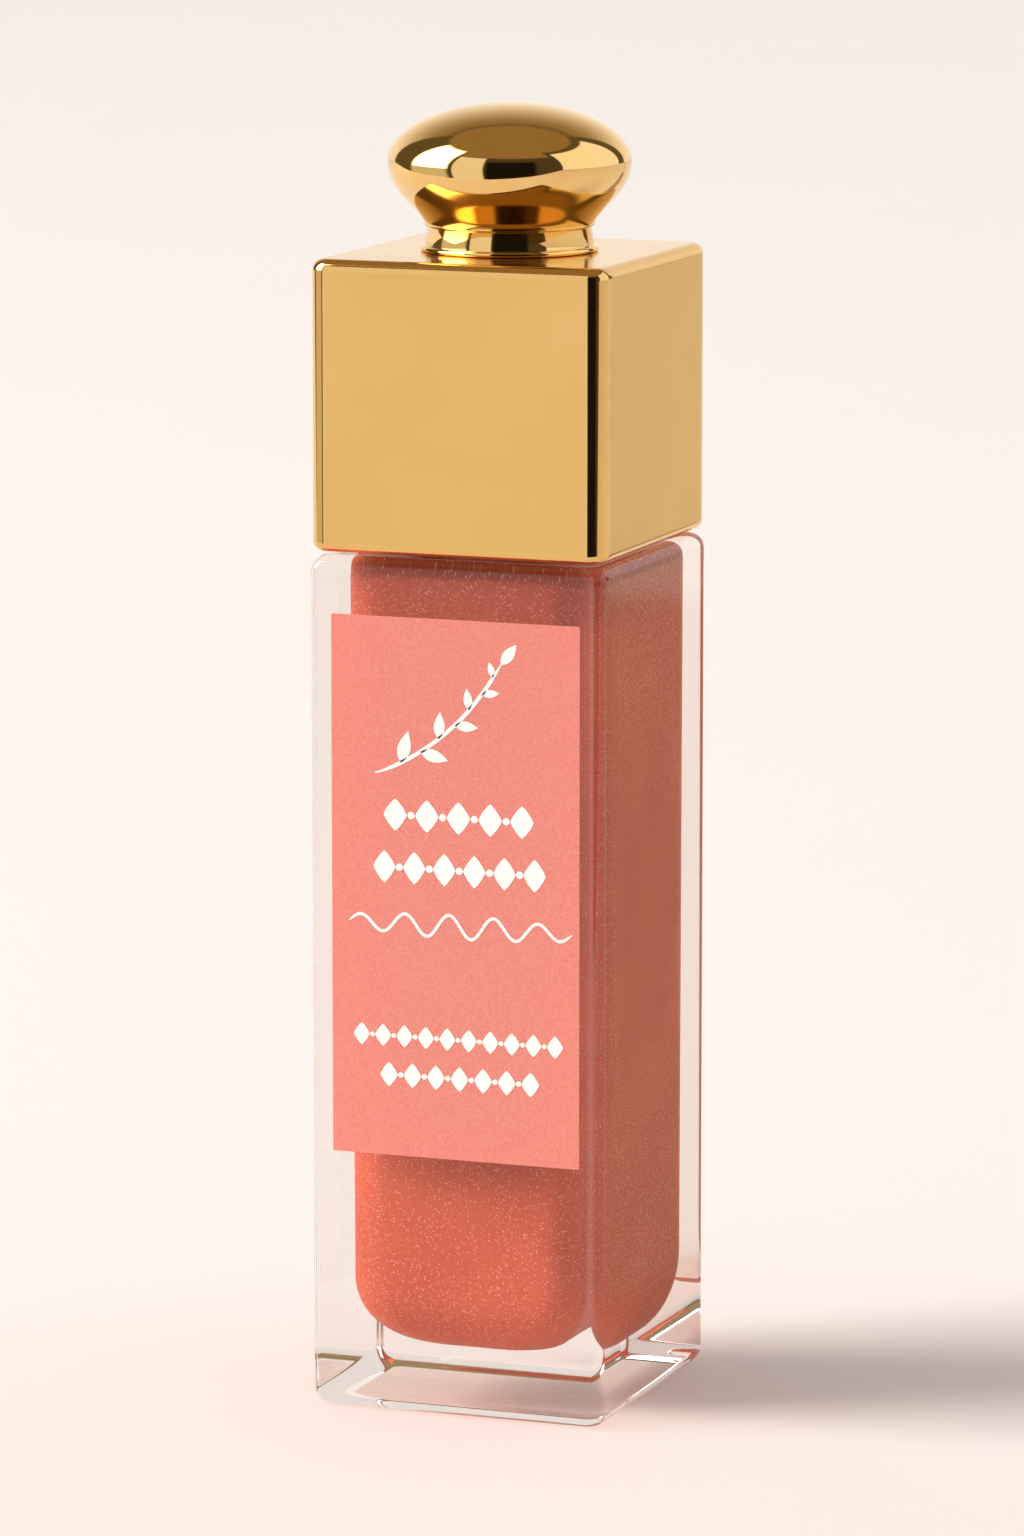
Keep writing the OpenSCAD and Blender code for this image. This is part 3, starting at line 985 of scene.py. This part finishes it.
def build_camera():
    """Long lens at the tube's front, a little to its right and above it."""
    azimuth, elevation = math.radians(20.56), math.radians(9.517)
    aim = Vector((0.138, 0.052, 41.016)) * MM
    distance = 495.98 * MM
    back = Vector((
        math.sin(azimuth) * math.cos(elevation),
        -math.cos(azimuth) * math.cos(elevation),
        math.sin(elevation),
    ))
    data = bpy.data.cameras.new("camera")
    data.sensor_width = 36
    data.lens = 179.27
    data.clip_start = 0.01
    data.clip_end = 20
    camera = bpy.data.objects.new("camera", data)
    camera.location = aim + back * distance
    camera.rotation_euler = back.to_track_quat("Z", "Y").to_euler()
    bpy.context.scene.collection.objects.link(camera)
    bpy.context.scene.camera = camera


def studio_patch(graph, colour, azimuth, elevation, span_azimuth, span_elevation, soft, patch):
    """Lays one soft-edged panel of light or dark over a sky colour; angles are in degrees."""
    mask = None
    for angle, (low, high) in ((azimuth, span_azimuth), (elevation, span_elevation)):
        up = graph.ramp(angle, low - soft, low + soft)
        down = graph.ramp(angle, high - soft, high + soft, 1.0, 0.0)
        both = graph.math("MULTIPLY", up, down)
        mask = both if mask is None else graph.math("MULTIPLY", mask, both)
    return graph.mix(mask, colour, patch)


def build_world():
    """Soft studio: a bright cove behind, a dark side behind the camera, panels left and right."""
    world = bpy.data.worlds.new("studio")
    world.use_nodes = True
    bpy.context.scene.world = world
    graph = Graph(world.node_tree)
    direction = graph.node("ShaderNodeTexCoord").outputs["Generated"]
    axes = graph.node("ShaderNodeSeparateXYZ", {"Vector": direction}).outputs
    degree = 180 / math.pi
    toward_front = graph.math("MULTIPLY", axes[1], -1.0)
    azimuth = graph.math("MULTIPLY", graph.math("ARCTAN2", axes[0], toward_front), degree)
    elevation = graph.math("MULTIPLY", graph.math("ARCSINE", axes[2]), degree)

    sky = graph.mix(graph.ramp(elevation, 8, 52), (1.06, 1.0, 0.93), (0.32, 0.225, 0.11))
    ceiling = (0.33, 0.225, 0.10)
    # Each panel: span in azimuth, span in elevation, softness of its edges, and colour
    all_round = (-400, 400)
    panels = (
        (all_round, (54, 200), 2, ceiling),
        (all_round, (52, 56), 2, (0.2, 0.15, 0.09)),
        ((-118, 158), (-200, 56), 2, (0.13, 0.105, 0.055)),
        ((-75, 75), (-200, 56), 4, (0.085, 0.068, 0.045)),
        ((-38, 66), (43, 60), 3, ceiling),
        ((-3, 46), (-200, 30), 3, (0.012, 0.01, 0.008)),
        ((-36, -5), (-200, 42), 1, (0.98, 0.95, 0.92)),
        ((-84, -42), (1, 55), 3, (6.0, 5.8, 5.5)),
        ((-86, -42), (-200, 1), 3, (0.75, 0.70, 0.62)),
        ((72, 146), (-200, 50), 1, (1.15, 1.15, 1.15)),
    )
    for span_azimuth, span_elevation, soft, patch in panels:
        sky = studio_patch(
            graph, sky, azimuth, elevation, span_azimuth, span_elevation, soft, patch
        )

    rays = graph.node("ShaderNodeLightPath").outputs
    seen = graph.mix(rays["Is Diffuse Ray"], sky, (0.53, 0.505, 0.48))
    seen = graph.mix(rays["Is Transmission Ray"], seen, (0.86, 0.80, 0.75))
    seen = graph.mix(rays["Is Camera Ray"], seen, (0.93, 0.87, 0.81))
    background = graph.node("ShaderNodeBackground", {"Color": seen, "Strength": 1.0}).outputs[0]
    out = graph.node("ShaderNodeOutputWorld")
    graph.tree.links.new(background, out.inputs["Surface"])


def build_lamp(name, azimuth, elevation, distance, size, power, colour):
    """Square soft lamp that points at the middle of the tube and isn't mirrored in the gold."""
    a, e = math.radians(azimuth), math.radians(elevation)
    back = Vector((math.sin(a) * math.cos(e), -math.cos(a) * math.cos(e), math.sin(e)))
    data = bpy.data.lights.new(name, "AREA")
    data.size = size
    data.energy = power
    data.color = colour
    lamp = bpy.data.objects.new(name, data)
    lamp.location = Vector((0, 0, 40 * MM)) + back * distance
    lamp.rotation_euler = back.to_track_quat("Z", "Y").to_euler()
    lamp.visible_glossy = False
    lamp.visible_camera = False
    bpy.context.scene.collection.objects.link(lamp)


def dress_inner_nodes(inner, steel, foam, stem):
    """Materials for the CAD nodes that stay as they are."""
    finishes = {
        "inner_cap": inner, "cap_weight": steel, "knob_screw": steel, "seal_washer": foam, "tip_core": stem,
    }
    for node, material in finishes.items():
        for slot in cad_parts[node].material_slots:
            slot.material = material


satin_gold = gold_satin()
edge_gold = gold_mirror("gold_edge", 0.06, GOLD, (0.83, 0.53, 0.19))
knob_gold = gold_mirror("gold_knob", 0.03, (0.85, 0.56, 0.215), (0.87, 0.585, 0.235))
gloss_inside = coral_gloss()
gloss_coat = coral_gloss("coral_coat", 0.5, 0.6)
stem_plastic = moulded_plastic("stem_plastic", (0.86, 0.82, 0.77), 0.25)

build_camera()
build_bottle(clear_glass())
build_gloss(gloss_inside)
build_wiper(moulded_plastic("wiper_plastic", (0.88, 0.87, 0.84), 0.35, clear=0.25))
build_label(label_film())
build_print(white_print())
build_shell(satin_gold, edge_gold)
build_collar(knob_gold)
build_knob(knob_gold)
build_stem(stem_plastic)
build_film(gloss_coat)
build_flock(tip_flocking())
dress_inner_nodes(
    moulded_plastic("inner_plastic", (0.88, 0.87, 0.84), 0.4), zinc_steel(), washer_foam(), stem_plastic
)
build_floor()
build_world()
build_lamp("key", -63, 33, 1.6, 0.7, 19.5, (1.0, 0.97, 0.93))
bpy.context.scene.view_settings.view_transform = "Standard"
